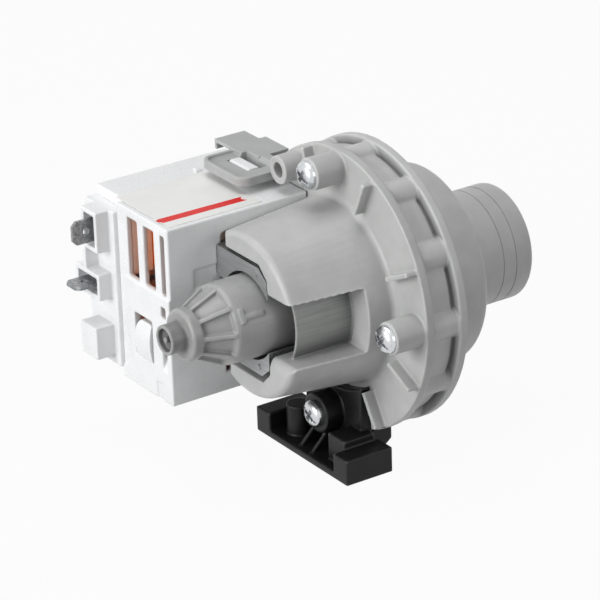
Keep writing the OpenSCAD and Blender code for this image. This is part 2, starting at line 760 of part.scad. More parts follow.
module motor_housing() {
  color("#b4b7b5") difference() {
    union() {
      along(x_face, x_joint, rim_r);
      shroud();
      nose();
      for (a = [90, 180]) polar(a, screw_r) along(x_head, x_face + 0.5, boss_d / 2);
      polar(SPARE_ANGLE, screw_r) along(x_face - spare_len, x_face + 0.5, spare_d / 2);
      for (g = GUSSETS) rotate([g[0], 0, 0])
        block([x_face - gusset_h, gusset_r0 + g[1], -gusset_t / 2], [x_face + 0.5, gusset_r1, gusset_t / 2]);
    }
    along(x_plate - fit, x_joint + 1, plate_d / 2 + fit);
    turned([[x_plate, 0], [x_plate, well_bore_r], [x_nose + well_taper, well_bore_r - 0.1],
            [x_nose + 1.2, seat_r + 1.2], [x_nose + 0.6, seat_r], [x_seat, seat_r], [x_seat, 0]]);
    along(x_tip - 1, x_tip + tube_depth, tube_bore / 2);
    for (a = concat(SCREW_ANGLES, [SPARE_ANGLE])) polar(a, screw_r)
      along(x_head - 1, x_joint + 1, boss_bore / 2);
  }
  color("#b4b7b5") along(x_tip + 0.1, x_tip + tube_depth + 0.5, pip_d / 2);
}

// Outline of the latch loop in the XY plane, inset all round
module loop_outline(inset, x_end) {
  round_rect([x_latch + inset, latch_y0 + inset], [x_end, latch_y1 - inset], latch_round - inset);
}

module stator_latch() {
  z0 = latch_z - latch_t;
  z_top = z0 + grip_h;
  x_grip = x_face - grip_x;
  x_step = catch_x0 + catch_len + border_w;
  x_root = x_face - fit;
  color("#9fa2a1") difference() {
    union() {
      translate([0, 0, z0]) linear_extrude(latch_t) loop_outline(0, x_root);
      difference() {
        translate([0, 0, z0]) linear_extrude(latch_t + border_h) loop_outline(0, x_root);
        translate([0, 0, latch_z]) linear_extrude(border_h + 1) loop_outline(border_w, x_root - 0.1);
      }
      block([x_step, latch_y0, z0], [x_root, latch_y1, z_top]);
      xz(latch_y0, latch_y1) polygon([[x_step - 1.2, latch_z - 0.1], [x_step - 1.2, latch_z], [x_step, z_top],
                                      [x_step + 0.5, z_top], [x_step + 0.5, latch_z - 0.1]]);
      block([x_grip, latch_y1 - 0.5, z0], [x_grip + grip_w, grip_y1, z_top]);
      block([x_grip, ear_y, z0], [x_face + ear_len, latch_y1 + 1, z_top]);
    }
    block([x_grip - 1, latch_y1 + grip_t, z0 - 1], [x_grip + grip_w - grip_t, grip_y1 - grip_t, z_top - grip_t]);
    block([catch_x0, catch_y0, z0 - 1], [catch_x0 + catch_len, catch_y0 + catch_w, z_top + 1]);
  }
}

module joint_oring() {
  color("#1d1d1d") rotate([0, 90, 0]) rotate_extrude()
    translate([oring_d / 2, x_joint + (oring_t - oring_squeeze) / 2]) circle((oring_t - oring_squeeze) / 2 - fit);
}

module bearing_plate() {
  color("#d8d8d4") difference() {
    union() {
      along(x_plate, x_joint, plate_d / 2);
      along(x_hub, x_plate + 0.5, well_bore_r - 0.1);
    }
    along(x_hub - 1, x_joint + 1, front_d / 2 - 1);
    along(x_hub + 0.6, x_joint + 1, front_d / 2 + fit);
    along(x_hub + 0.6 + bearing_len + 0.2, x_joint + 1, seal_d / 2 + fit);
  }
}

module front_bearing() {
  color("#3c3c3e") ring(x_hub + 0.6, x_hub + 0.6 + bearing_len, shaft_r + run, front_d / 2);
}

module rear_bearing() {
  color("#3c3c3e") ring(x_seat + 0.3, x_seat + 0.3 + bearing_len, shaft_r + run, rear_d / 2);
}

module rear_bearing_seat() {
  color("#242424") difference() {
    along(x_seat, x_seat + 0.3 + bearing_len, seat_r - fit);
    along(x_seat + 0.3, x_seat + 0.3 + bearing_len + 1, rear_d / 2 + fit);
    along(x_seat - 1, x_seat + 1, shaft_r + 0.5);
  }
}

module shaft_seal() {
  x0 = x_hub + 0.6 + bearing_len + 0.2;
  color("#1d1d1d") difference() {
    along(x0, x0 + seal_len, seal_d / 2);
    along(x0 - 1, x0 + seal_len + 1, shaft_r + run);
    ring(x0 + 1.2, x0 + seal_len + 1, shaft_r + 0.7, seal_d / 2 - 1);
  }
}

module rotor_shaft() {
  color("#c8ccd0") along(x_seat + 0.2, shaft_end, shaft_r);
}

module rotor_magnet() {
  color("#3a3c40") ring(x_magnet, x_magnet_end, magnet_bore / 2, magnet_d / 2);
}

module rotor_hub() {
  color("#e2e2de") difference() {
    union() {
      along(x_magnet - hub_flange, x_magnet_end + hub_flange, magnet_bore / 2 - fit);
      along(x_magnet - hub_flange, x_magnet - fit, magnet_d / 2 - 0.4);
      along(x_magnet_end + fit, x_magnet_end + hub_flange, magnet_d / 2 - 0.4);
    }
    along(x_magnet - hub_flange - 1, x_magnet_end + hub_flange + 1, shaft_r + fit);
  }
}

module thrust_washer() {
  color("#d0d0cc") ring(x_magnet_end + hub_flange + fit, x_magnet_end + hub_flange + fit + washer_t,
                        shaft_r + fit, washer_d / 2);
}

module drive_dog() {
  color("#e8e8e4") difference() {
    union() {
      along(x_dog + free, x_dog_end - free, dog_hub_d / 2);
      sector(x_dog + free, x_dog_end - free, shaft_r + 0.5, dog_bore / 2 - free, 90, dog_angle);
    }
    along(x_dog - 1, x_dog_end + 1, shaft_r + fit);
  }
}

module impeller() {
  color("#c9cbc9") difference() {
    union() {
      along(x_impeller, x_impeller_end, hub_d / 2);
      along(x_impeller, x_dog, impeller_d / 2);
      for (i = [0:blade_n - 1]) rotate([i * 360 / blade_n, 0, 0])
        block([x_impeller, hub_d / 2 - 0.6, -blade_t / 2], [x_dog + blade_len, impeller_d / 2 - 0.3, blade_t / 2]);
    }
    along(x_dog, x_dog_end, dog_bore / 2);
    along(x_impeller - 1, x_dog + 0.5, dog_bore / 2);
    along(x_dog, x_impeller_end + 1, shaft_r + run);
  }
  color("#c9cbc9") sector(x_dog + fit, x_dog_end + 0.1, dog_hub_d / 2 + free, dog_bore / 2 + 0.1, 270, dog_angle);
}

module dog_cover() {
  color("#b9bbb9") ring(x_impeller, x_dog, shaft_r + run, dog_bore / 2 - fit);
}

module impeller_keeper() {
  color("#c8ccd0") ring(x_impeller_end + 0.1, x_impeller_end + 0.1 + keeper_t, shaft_r + fit, keeper_d / 2);
}

// Outline of one pole in the YZ plane, s is 1 for the upper and -1 for the lower
module pole_outline(s) {
  difference() {
    polygon([[-tip_reach, 0], [-tip_reach, s * (core_z - tip_drop)],
             [-tip_reach + tip_chamfer, s * core_z], [yoke_y, s * core_z],
             [yoke_y, s * pole_z], [core_bore / 2 - 1.2, s * pole_z], [core_bore / 2 - 1.2, 0]]);
    circle(core_bore / 2);
  }
}

module core_poles() {
  color("#6e6e6e") difference() {
    for (s = [-1, 1]) yz(x_core, x_core_end) pole_outline(s);
    for (s = [-1, 1]) translate([0, rivet_y[0], s * rivet_z[0]])
      along(x_core - 1, x_core_end + 1, rivet_d / 2);
  }
}

module core_yoke() {
  color("#6a6a6a") difference() {
    block([x_core, yoke_y, -core_z], [x_core_end, yoke_y + yoke_d, core_z]);
    for (s = [-1, 1]) translate([0, rivet_y[1], s * rivet_z[1]])
      along(x_core - 1, x_core_end + 1, rivet_d / 2);
  }
}

module core_rivets() {
  color("#8c8c8c") for (s = [-1, 1], i = [0:1]) translate([0, rivet_y[i], s * rivet_z[i]]) {
    along(x_core, x_core_end, rivet_d / 2 - fit);
    along(x_core - rivet_h, x_core, rivet_d / 2 - fit);
  }
}

// One bobbin, above the pump axis
module bobbin() {
  x0 = bobbin_x0 - coil_end_t - flange_over;
  x1 = bobbin_x1 + coil_end_t + flange_over;
  z0 = bobbin_in_z - coil_t - flange_over;
  z1 = bobbin_out_z + coil_t + flange_over;
  y1 = bobbin_y + bobbin_len;
  difference() {
    union() {
      block([bobbin_x0, bobbin_y, bobbin_in_z], [bobbin_x1, y1, bobbin_out_z]);
      block([x0, bobbin_y, z0], [x1, bobbin_y + bobbin_flange, z1]);
      block([x0, y1 - bobbin_flange, z0], [x1, y1, z1]);
    }
    block([x_core - fit, bobbin_y - 1, pole_z - fit], [x_core_end + fit, y1 + 1, core_z + fit]);
  }
}

module bobbin_upper() {
  color("#c8aa9a") bobbin();
}

module bobbin_lower() {
  color("#c8aa9a") mirror([0, 0, 1]) bobbin();
}

// One winding, above the pump axis
module coil() {
  y0 = bobbin_y + bobbin_flange + fit;
  y1 = bobbin_y + bobbin_len - bobbin_flange - fit;
  xz(y0, y1) difference() {
    round_rect([bobbin_x0 - coil_end_t, bobbin_in_z - coil_t],
               [bobbin_x1 + coil_end_t, bobbin_out_z + coil_t], coil_round);
    translate([bobbin_x0 - fit, bobbin_in_z - fit])
      square([bobbin_x1 - bobbin_x0 + 2 * fit, bobbin_out_z - bobbin_in_z + 2 * fit]);
  }
}

module coil_upper() {
  color("#b5521a") coil();
}

module coil_lower() {
  color("#b5521a") mirror([0, 0, 1]) coil();
}

module thermal_cutout() {
  color("#d9d4c0") translate([x_cutout, bobbin_y + bobbin_len / 2, -core_z + pole_w / 2 - cutout_len / 2])
    cylinder(h = cutout_len, d = cutout_d);
}

module cooling_slots() {
  y1 = y_front + slot_first + slot_narrow;
  for (s = [[y_front + slot_first, slot_narrow], [y1 + slot_bar, slot_wide],
            [y1 + 2 * slot_bar + slot_wide, slot_wide]])
    block([x_cover - 1, s[0], slot_bottom], [x_cover + cover_t + 1, s[0] + s[1], slot_top]);
}

module stator_cover() {
  color("#f2f2f2") difference() {
    union() {
      block([x_cover, y_front, -cover_bottom], [x_cover_end, y_corner, cover_top]);
      block([x_corner, y_corner - 1, -cover_bottom], [x_cover_end, y_back, cover_top]);
      yz(x_cover - panel_t, x_cover + 0.5) panel_outline();
      catch_nib();
    }
    block([x_cover + cover_t, y_front + cover_t, -cover_bottom + cover_t],
          [x_cover_end + 1, y_corner - cover_t, cover_top - cover_t]);
    block([x_corner + cover_t, y_corner - cover_t - 1, -cover_bottom + cover_t],
          [x_cover_end + 1, y_back - cover_t, cover_top - cover_t]);
    xz(y_front - 1, y_front + cover_t + 1)
      round_rect([x_core + front_open, -front_bottom], [x_cover_end + 4, front_top], front_round);
    cooling_slots();
    block([x_cover - 1, snap_y, snap_bottom], [x_cover + cover_t + 1, snap_y + snap_w, -snap_top]);
    block([x_cover - 1, y_front + vent_y, vent_top - vent_h], [x_cover + cover_t + 1, y_front + vent_y + vent_w, vent_top]);
    xz(y_front + vent_y, y_front + vent_y + vent_w)
      polygon([[x_cover - panel_t - 1, -vent_low], [x_cover + cover_t + 1, -vent_low],
               [x_cover + cover_t + 1, -vent_low - 1], [x_cover - panel_t, -vent_low - vent_low_h],
               [x_cover - panel_t - 1, -vent_low - vent_low_h]]);
    block([x_core + hole_x, y_front - 1, -hole_top - hole_h], [x_core + hole_x + hole_w, y_front + cover_t + 1, -hole_top]);
    block([x_cover + recess_x, y_front - 1, recess_z], [x_core + front_open + 1, y_front + recess_t, recess_z + recess_h]);
    for (s = [-1, 1]) block([x_core - fit, y_front - 1, s > 0 ? pole_z - fit : -core_z - fit],
                            [x_core_end, y_front + cover_t + 1, s > 0 ? core_z + fit : -pole_z + fit]);
    block([x_cover + label_margin, y_front + label_margin, cover_top - label_t],
          [x_cover + label_margin + label_len, y_front + label_margin + label_w, cover_top + 1]);
    tab_cuts(x_corner - 1, x_corner + cover_t + 1);
  }
}

// Outline of the raised lower panel in the YZ plane
module panel_outline() {
  z1 = slot_bottom - 0.4;
  difference() {
    polygon([[y_front, -cover_bottom], [y_corner, -cover_bottom], [y_corner, -cover_bottom + panel_foot],
             [panel_y - panel_in, -cover_bottom + 2 * panel_foot], [panel_y - panel_in, -panel_step],
             [panel_y, -panel_step + 0.4], [panel_y, z1 - 0.8], [panel_y - 0.8, z1], [y_front, z1]]);
    translate([y_front + vent_y + vent_w + 0.4, -cover_bottom - 1]) square([groove_w, groove_h + 1]);
  }
}

// Ramp that snaps into the latch window: steep towards the free end, sloping towards the flange
module catch_nib() {
  x0 = catch_x0 + nib_gap;
  x1 = catch_x0 + catch_len - nib_gap;
  xz(catch_y0 + nib_gap, catch_y0 + catch_w - nib_gap)
    polygon([[x0, cover_top - 0.5], [x0, cover_top + nib_h - 0.5], [x0 + 0.6, cover_top + nib_h],
             [x0 + 0.6 + nib_flat, cover_top + nib_h], [x1, cover_top + nib_h * 0.45], [x1, cover_top - 0.5]]);
}

module tab_cuts(x0, x1) {
  block([x0, y_shield + shield_up_w / 2 - tab_t / 2 - fit, tab_up_z() - tab_w / 2 - fit],
        [x1, y_shield + shield_up_w / 2 + tab_t / 2 + fit, tab_up_z() + tab_w / 2 + fit]);
  block([x0, y_shield + shield_low_w / 2 - tab_w / 2 - fit, tab_low_z() - tab_t / 2 - fit],
        [x1, y_shield + shield_low_w / 2 + tab_w / 2 + fit, tab_low_z() + tab_t / 2 + fit]);
}

function tab_up_z() = column_top - shield_up_h / 2;
function tab_low_z() = shield_low_top - shield_low_h / 2;

module snap_tongue() {
  x_out = x_cover - panel_t;
  z0 = snap_bottom + fit;
  z1 = -snap_top - snap_over;
  y0 = snap_y + snap_gap;
  y1 = snap_y + snap_w - snap_gap;
  color("#f4f4f4") intersection() {
    xz(y0, y1) polygon(concat([for (i = [0:12]) [x_out - snap_swell * sin(i * 15) + 0.02 * i, z0 + (z1 - z0) * i / 12]],
                              [[x_cover + cover_t, z1], [x_cover + cover_t, z0]]));
    yz(x_out - snap_swell - 1, x_cover + cover_t + 1)
      polygon(concat([[y0, z0], [y0, z1 - 0.6], [y0 + 0.6, z1]],
                     [for (i = [0:6]) [y1 - snap_narrow * (1 - sin(i * 15)), z1 - (z1 - z0) / 2 * (1 - cos(i * 15))]],
                     [[y1, z0]]));
  }
}

module rating_label() {
  z = cover_top - label_t + fit;
  color("#f7f7f5") block([x_cover + label_margin + free, y_front + label_margin + free, z],
                         [x_cover + label_margin + label_len - free,
                          y_front + label_margin + label_w - free, cover_top]);
}

// A shield around one tab, open towards -X
module shield(y0, w, z1, h) {
  difference() {
    block([x_shield, y0, z1 - h], [x_column + 0.5, y0 + w, z1]);
    block([x_shield - 1, y0 + shield_t, z1 - h + shield_t], [x_column, y0 + w - shield_t, z1 - shield_t]);
  }
}

module terminal_housing() {
  color("#f0f0f0") difference() {
    union() {
      block([x_column, y_corner + fit, -cover_bottom + 2.4], [x_corner - fit, y_back, column_top]);
      shield(y_shield, shield_up_w, column_top, shield_up_h);
      shield(y_shield, shield_low_w, shield_low_top, shield_low_h);
      block([x_shield, y_shield + shield_up_w - shield_t, shield_low_top - 0.5],
            [x_column + 0.5, y_shield + shield_up_w, column_top - shield_up_h + 0.5]);
      block([x_column - blank_len, y_shield, -blank_top - blank_h], [x_column + 0.5, y_shield + blank_w, -blank_top]);
    }
    tab_cuts(x_column - 1, x_corner + 1);
    block([x_column - 1, y_corner + 1.2, slit_z], [x_column + 0.5, y_corner + 1.2 + slit_len, slit_z + slit_t]);
  }
}

// Outline of one tab along +X from its rounded end, centred on its width
module tab_outline() {
  len = tab_reach + column_t + tab_root;
  difference() {
    polygon([[0, -tab_w / 2 + tab_chamfer], [tab_chamfer, -tab_w / 2], [len, -tab_w / 2],
             [len, tab_w / 2], [tab_chamfer, tab_w / 2], [0, tab_w / 2 - tab_chamfer]]);
    translate([tab_hole_x, 0]) circle(tab_hole / 2);
  }
}

module terminal_upper() {
  color("#8a8c8e") translate([x_tab, y_shield + shield_up_w / 2 + tab_t / 2, tab_up_z()])
    rotate([90, 0, 0]) linear_extrude(tab_t) tab_outline();
}

module terminal_lower() {
  color("#8a8c8e") translate([x_tab, y_shield + shield_low_w / 2, tab_low_z() - tab_t / 2])
    linear_extrude(tab_t) tab_outline();
}

// One screw with its head towards -X
module screw() {
  difference() {
    union() {
      along(x_head, x_head + screw_len, screw_d / 2);
      turned(concat([[x_head, 0], [x_head, head_d / 2], [x_head - head_h * 0.35, head_d / 2]],
                    [for (i = [1:6]) [x_head - head_h * (0.35 + 0.65 * sin(i * 15)), head_d / 2 * cos(i * 13)]],
                    [[x_head - head_h, 0]]));
    }
    for (a = [30, 120]) rotate([a, 0, 0])
      block([x_head - head_h - 1, -head_d / 4, -slot_w / 2], [x_head - head_h + slot_depth, head_d / 4, slot_w / 2]);
    rotate([30, 0, 0])
      block([x_head - head_h - 1, -head_d, -slot_w / 4], [x_head - head_h + slot_depth / 2, head_d, slot_w / 4]);
  }
}

module flange_screws() {
  color("#d5d8da") for (a = SCREW_ANGLES) polar(a, screw_r) screw();
}

module foot_bracket() {
  half = foot_len / 2;
  z_floor = -axis_h;
  z_plate = z_floor + foot_t;
  x_web = x_face - fit - web_t;
  arch_r = shroud_root_r + root_flare + free;
  color("#1c1c1d") difference() {
    union() {
      block([x_foot, -half, z_floor], [x_foot_end, half, z_plate]);
      for (s = [-1, 1]) block([x_foot, s > 0 ? half - block_len : -half, z_floor],
                              [x_foot_end, s > 0 ? half : block_len - half, z_floor + block_h]);
      block([x_foot + step_in, -half + block_len - 0.5, z_floor],
            [x_foot_end - 1.6, -half + block_len + step_len, z_floor + block_h + step_h]);
      block([x_web, -web_half, z_floor + 0.5], [x_face - fit, web_half, -shroud_root_r * 0.55]);
      polar(270, screw_r) along(x_head, x_face - fit, ring_d / 2);
      for (s = [-1, 1]) xz(s * strut_y - strut_t / 2, s * strut_y + strut_t / 2)
        polygon([[x_web + 0.5, -screw_r], [x_head + 1, -screw_r], [x_head + 1, -screw_r - ring_d / 2 + 0.6],
                 [x_foot + 1, z_plate], [x_foot + 1, z_plate - 0.5], [x_web + 0.5, z_plate - 0.5]]);
      translate([x_foot + foot_w / 2 - 1, post_y, z_floor]) cylinder(h = foot_t + post_h, d = post_d);
      xz(-arm_half, arm_half) polygon([[x_web, z_floor + 0.2], [x_foot_end, z_floor + 0.2],
        [x_foot_end + arm_len, -rim_r - arm_drop], [x_foot_end + arm_len, -rim_r + arm_up],
        [x_web, -rim_r + arm_up]]);
    }
    along(x_face - fit, 1, rim_r + free);
    along(x_foot - 1, x_face + 1, arch_r);
    polar(270, screw_r) along(x_head - 1, x_face + 1, boss_bore / 2);
    translate([x_foot + foot_w / 2 - 1, post_y, z_floor - 1]) cylinder(h = foot_t + post_h - 0.6, d = post_bore);
  }
}

volute_housing();
motor_housing();
stator_latch();
joint_oring();
bearing_plate();
front_bearing();
rear_bearing();
rear_bearing_seat();
shaft_seal();
rotor_shaft();
rotor_magnet();
rotor_hub();
thrust_washer();
drive_dog();
impeller();
dog_cover();
impeller_keeper();
core_poles();
core_yoke();
core_rivets();
bobbin_upper();
bobbin_lower();
coil_upper();
coil_lower();
thermal_cutout();
stator_cover();
snap_tongue();
rating_label();
terminal_housing();
terminal_upper();
terminal_lower();
flange_screws();
foot_bracket();
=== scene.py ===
# Drain pump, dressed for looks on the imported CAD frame. Lengths are in millimetres until they reach a mesh.
import math

import bmesh
import bpy
from mathutils import Matrix, Vector


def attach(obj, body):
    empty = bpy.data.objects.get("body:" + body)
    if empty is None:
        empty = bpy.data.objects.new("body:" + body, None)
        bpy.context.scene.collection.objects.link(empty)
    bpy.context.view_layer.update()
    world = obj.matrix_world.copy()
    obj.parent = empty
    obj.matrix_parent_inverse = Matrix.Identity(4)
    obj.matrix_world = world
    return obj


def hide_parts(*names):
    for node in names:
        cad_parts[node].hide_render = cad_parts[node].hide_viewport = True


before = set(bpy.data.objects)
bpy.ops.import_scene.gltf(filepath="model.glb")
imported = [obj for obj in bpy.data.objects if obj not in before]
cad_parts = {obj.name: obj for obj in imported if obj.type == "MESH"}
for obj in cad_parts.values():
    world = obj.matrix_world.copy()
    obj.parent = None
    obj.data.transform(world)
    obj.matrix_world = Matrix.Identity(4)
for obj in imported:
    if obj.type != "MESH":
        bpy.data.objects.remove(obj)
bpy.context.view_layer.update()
mm = 0.001
sameSpot = 2e-6  # corners of a CAD mesh that are closer together than this, in metres, are one
alongX, alongY, alongZ = 0, 1, 2
print("frame loaded")


def linear(code):
    # sRGB hex to a linear colour
    parts = [int(code[i:i + 2], 16) / 255 for i in (0, 2, 4)]
    return [p / 12.92 if p <= 0.04045 else ((p + 0.055) / 1.055) ** 2.4 for p in parts] + [1.0]


def addNode(tree, kind, links=None, stops=None, **settings):
    # settings are properties or sockets (Base_Color, in1), links give sockets their sources,
    # stops are the (position, colour or grey) pairs of a colour ramp
    node = tree.nodes.new(kind)
    for key, value in settings.items():
        if hasattr(node, key):
            setattr(node, key, value)
        elif key[:2] == "in" and key[2:].isdigit():
            node.inputs[int(key[2:])].default_value = value
        else:
            node.inputs[key.replace("_", " ")].default_value = value
    for key, source in (links or {}).items():
        tree.links.new(source, node.inputs[key])
    for i, (position, value) in enumerate(stops or []):
        if i >= len(node.color_ramp.elements):
            node.color_ramp.elements.new(1.0)
        node.color_ramp.elements[i].position = position
        node.color_ramp.elements[i].color = value if isinstance(value, list) else [value, value, value, 1.0]
    return node


def seenDirectly(tree):
    # 1 for a ray that comes from the camera, a mirror or glass, and 0 for one that gathers light
    path = addNode(tree, "ShaderNodeLightPath")
    eyes = addNode(tree, "ShaderNodeMath", {0: path.outputs["Is Camera Ray"], 1: path.outputs["Is Glossy Ray"]},
                   operation="MAXIMUM")
    return addNode(tree, "ShaderNodeMath", {0: eyes.outputs[0], 1: path.outputs["Is Transmission Ray"]},
                   operation="MAXIMUM")


def newMaterial(name):
    mat = bpy.data.materials.new(name)
    mat.use_nodes = True
    tree = mat.node_tree
    tree.nodes.clear()
    out = tree.nodes.new("ShaderNodeOutputMaterial")
    shader = tree.nodes.new("ShaderNodeBsdfPrincipled")
    tree.links.new(shader.outputs[0], out.inputs[0])
    return mat, tree, shader


def toObject(name, bm, mat, body="pump", replaces=(), smooth=35):
    # faces that meet at less than the smooth angle, in degrees, are shaded as one
    mesh = bpy.data.meshes.new(name)
    bm.normal_update()
    bm.to_mesh(mesh)
    bm.free()
    mesh.shade_smooth()
    mesh.set_sharp_from_angle(angle=math.radians(smooth))
    obj = bpy.data.objects.new(name, mesh)
    bpy.context.scene.collection.objects.link(obj)
    mesh.materials.append(mat)
    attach(obj, body)
    if replaces:
        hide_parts(*replaces)
    return obj


# the camera stands where the photograph was taken. Angles are in degrees. The focal length, the axisPixel where
# the axisPoint is seen and the centre are in pixels of a frame 600 wide, and the clip range is in metres
view = {"azimuth": -33.4, "elevation": 24.1, "roll": -1.85, "focal": 3500.0, "distance": 875.0,
        "axisPoint": (-1.6, 0.0, 0.0), "axisPixel": (423.0, 262.0), "centre": 300.0, "sensor": 36.0,
        "clip": (0.05, 20)}

azimuth, elevation, roll = (math.radians(view[k]) for k in ("azimuth", "elevation", "roll"))
backWay = Vector((math.sin(azimuth) * math.cos(elevation), -math.cos(azimuth) * math.cos(elevation),
                  math.sin(elevation)))
flatRight = Vector((math.cos(azimuth), math.sin(azimuth), 0))
flatUp = backWay.cross(flatRight)
rightWay = math.cos(roll) * flatRight + math.sin(roll) * flatUp
upWay = math.cos(roll) * flatUp - math.sin(roll) * flatRight
offX = (view["axisPixel"][0] - view["centre"]) / view["focal"] * view["distance"]
offY = -(view["axisPixel"][1] - view["centre"]) / view["focal"] * view["distance"]
spot = Vector(view["axisPoint"]) - offX * rightWay - offY * upWay + view["distance"] * backWay

camData = bpy.data.cameras.new("photoCamera")
camData.sensor_width = view["sensor"]
camData.lens = view["sensor"] * view["focal"] / (2 * view["centre"])
camData.clip_start, camData.clip_end = view["clip"]
cam = bpy.data.objects.new("photoCamera", camData)
bpy.context.scene.collection.objects.link(cam)
cam.matrix_world = Matrix((
    (rightWay.x, upWay.x, backWay.x, spot.x * mm),
    (rightWay.y, upWay.y, backWay.y, spot.y * mm),
    (rightWay.z, upWay.z, backWay.z, spot.z * mm),
    (0, 0, 0, 1)))
bpy.context.scene.camera = cam

# half is half the floor's side in metres, and lift is how white the camera and mirrors see it
floorLook = {"height": -43.05, "half": 3.0, "colour": "B4B4B4", "rough": 0.9, "lift": 0.95}

floorMat, tree, shader = newMaterial("paleFloor")
shader.inputs["Base Color"].default_value = linear(floorLook["colour"])
shader.inputs["Roughness"].default_value = floorLook["rough"]
glow = addNode(tree, "ShaderNodeEmission", Color=linear("FFFFFF"), Strength=1.0)
eyes = seenDirectly(tree)
share = addNode(tree, "ShaderNodeMath", {0: eyes.outputs[0]}, operation="MULTIPLY", in1=floorLook["lift"])
blend = addNode(tree, "ShaderNodeMixShader", {0: share.outputs[0], 1: shader.outputs[0], 2: glow.outputs[0]})
tree.links.new(blend.outputs[0], tree.nodes["Material Output"].inputs[0])
bm = bmesh.new()
bmesh.ops.create_grid(bm, x_segments=1, y_segments=1, size=floorLook["half"])
bmesh.ops.translate(bm, verts=bm.verts, vec=(0, 0, floorLook["height"] * mm))
mesh = bpy.data.meshes.new("floorPlane")
bm.to_mesh(mesh)
bm.free()
mesh.materials.append(floorMat)
floor = bpy.data.objects.new("floorPlane", mesh)
bpy.context.scene.collection.objects.link(floor)

# each lamp has its place in metres, its power in watts and its side in metres
studio = {"sky": 0.13, "aim": (-0.02, 0.01, 0.0), "lamps": {
    "topSoftbox": ((-0.10, 0.10, 0.80), 3.5, 0.6),
    "leftSoftbox": ((-0.80, -0.05, 0.25), 5.0, 0.45),
    "rightSoftbox": ((0.30, -0.85, 0.30), 1.15, 0.4)}}

world = bpy.data.worlds.new("softSky")
world.use_nodes = True
bpy.context.scene.world = world
tree = world.node_tree
tree.nodes.clear()
skyOut = addNode(tree, "ShaderNodeOutputWorld")
skyLight = addNode(tree, "ShaderNodeBackground", Color=linear("FFFFFF"), Strength=studio["sky"])
skySeen = addNode(tree, "ShaderNodeBackground", Color=linear("FFFFFF"), Strength=1.0)
eyes = seenDirectly(tree)
blend = addNode(tree, "ShaderNodeMixShader",
                {0: eyes.outputs[0], 1: skyLight.outputs[0], 2: skySeen.outputs[0]})
tree.links.new(blend.outputs[0], skyOut.inputs[0])
for name, (place, watts, size) in studio["lamps"].items():
    data = bpy.data.lights.new(name, "AREA")
    data.energy = watts
    data.size = size
    lamp = bpy.data.objects.new(name, data)
    bpy.context.scene.collection.objects.link(lamp)
    lamp.location = place
    lamp.rotation_mode = "QUATERNION"
    lamp.rotation_quaternion = (Vector(studio["aim"]) - Vector(place)).to_track_quat("-Z", "Y")
bpy.context.scene.view_settings.view_transform = "Standard"
print("camera, floor and light made")

cornerRays = 8  # rays that find out how open a spot is


def withPaintedShade(tree, tint, reach, darkest, start=0.3):
    # the tint, darkened towards the inner corners by painted shade, where shade falls
    corner = addNode(tree, "ShaderNodeAmbientOcclusion", samples=cornerRays, only_local=True,
                     Distance=reach * mm)
    shadeRamp = addNode(tree, "ShaderNodeValToRGB", {0: corner.outputs["AO"]}, [(start, darkest), (0.95, 1.0)])
    return addNode(tree, "ShaderNodeMix", {6: tint.outputs[0], 7: shadeRamp.outputs[0]}, data_type="RGBA",
                   blend_type="MULTIPLY", in0=1.0)


def grained(tree, shader, pattern, rough, strength, depth):
    # gloss and height follow one pattern, and rough is the roughness of its low and its high places
    gloss = addNode(tree, "ShaderNodeValToRGB", {0: pattern.outputs[0]}, [(0.3, rough[0]), (0.7, rough[1])])
    tree.links.new(gloss.outputs[0], shader.inputs["Roughness"])
    bump = addNode(tree, "ShaderNodeBump", {"Height": pattern.outputs[0]}, Strength=strength,
                   Distance=depth * mm)
    tree.links.new(bump.outputs[0], shader.inputs["Normal"])


def lineNoise(tree, scales, **settings):
    # noise that is stretched to lines where one of its three scales is low
    place = addNode(tree, "ShaderNodeTexCoord")
    scaled = addNode(tree, "ShaderNodeMapping", {"Vector": place.outputs["Object"]}, Scale=scales)
    return addNode(tree, "ShaderNodeTexNoise", {"Vector": scaled.outputs[0]}, Scale=1.0, Detail=3.0, **settings)


# what all mouldings share: the width of their clouds, how far in from their outer edges the painted
# highlight reaches, how much their gloss varies, and their index of refraction
plasticLook = {"cloud": 6.0, "highlightReach": 0.8, "glossier": 0.05, "duller": 0.06, "ior": 1.49}


def mouldedPlastic(name, code, dark, rough, crease=0.7, reach=2.5, edgeHighlight=None, grain=0.35, depth=0.006,
                   sheen=0.45):
    # injection-moulded plastic: even colour with a faint cloudiness, spark-eroded grain and satin gloss,
    # darker in its inner corners by painted shade, paler along its outer edges by a painted highlight
    mat, tree, shader = newMaterial(name)
    place = addNode(tree, "ShaderNodeTexCoord")
    cloud = addNode(tree, "ShaderNodeTexNoise", {"Vector": place.outputs["Object"]},
                    Scale=1000 / plasticLook["cloud"], Detail=4.0, Roughness=0.6)
    tint = addNode(tree, "ShaderNodeValToRGB", {0: cloud.outputs[0]},
                   [(0.35, linear(dark)), (0.65, linear(code))])
    colour = withPaintedShade(tree, tint, reach, crease)
    # a paler colour along the outer edges: a painted highlight
    if edgeHighlight:
        rim = addNode(tree, "ShaderNodeAmbientOcclusion", samples=cornerRays, only_local=True, inside=True,
                      Distance=plasticLook["highlightReach"] * mm)
        share = addNode(tree, "ShaderNodeValToRGB", {0: rim.outputs["AO"]}, [(0.45, 1.0), (0.85, 0.0)])
        colour = addNode(tree, "ShaderNodeMix", {0: share.outputs[0], 6: colour.outputs[2]},
                         data_type="RGBA", in7=linear(edgeHighlight))
    tree.links.new(colour.outputs[2], shader.inputs["Base Color"])
    fine = addNode(tree, "ShaderNodeTexNoise", {"Vector": place.outputs["Object"]}, Scale=1000 / grain,
                   Detail=2.0)
    grained(tree, shader, fine, (rough - plasticLook["glossier"], rough + plasticLook["duller"]), 0.5, depth)
    shader.inputs["IOR"].default_value = plasticLook["ior"]
    shader.inputs["Specular IOR Level"].default_value = sheen
    return mat
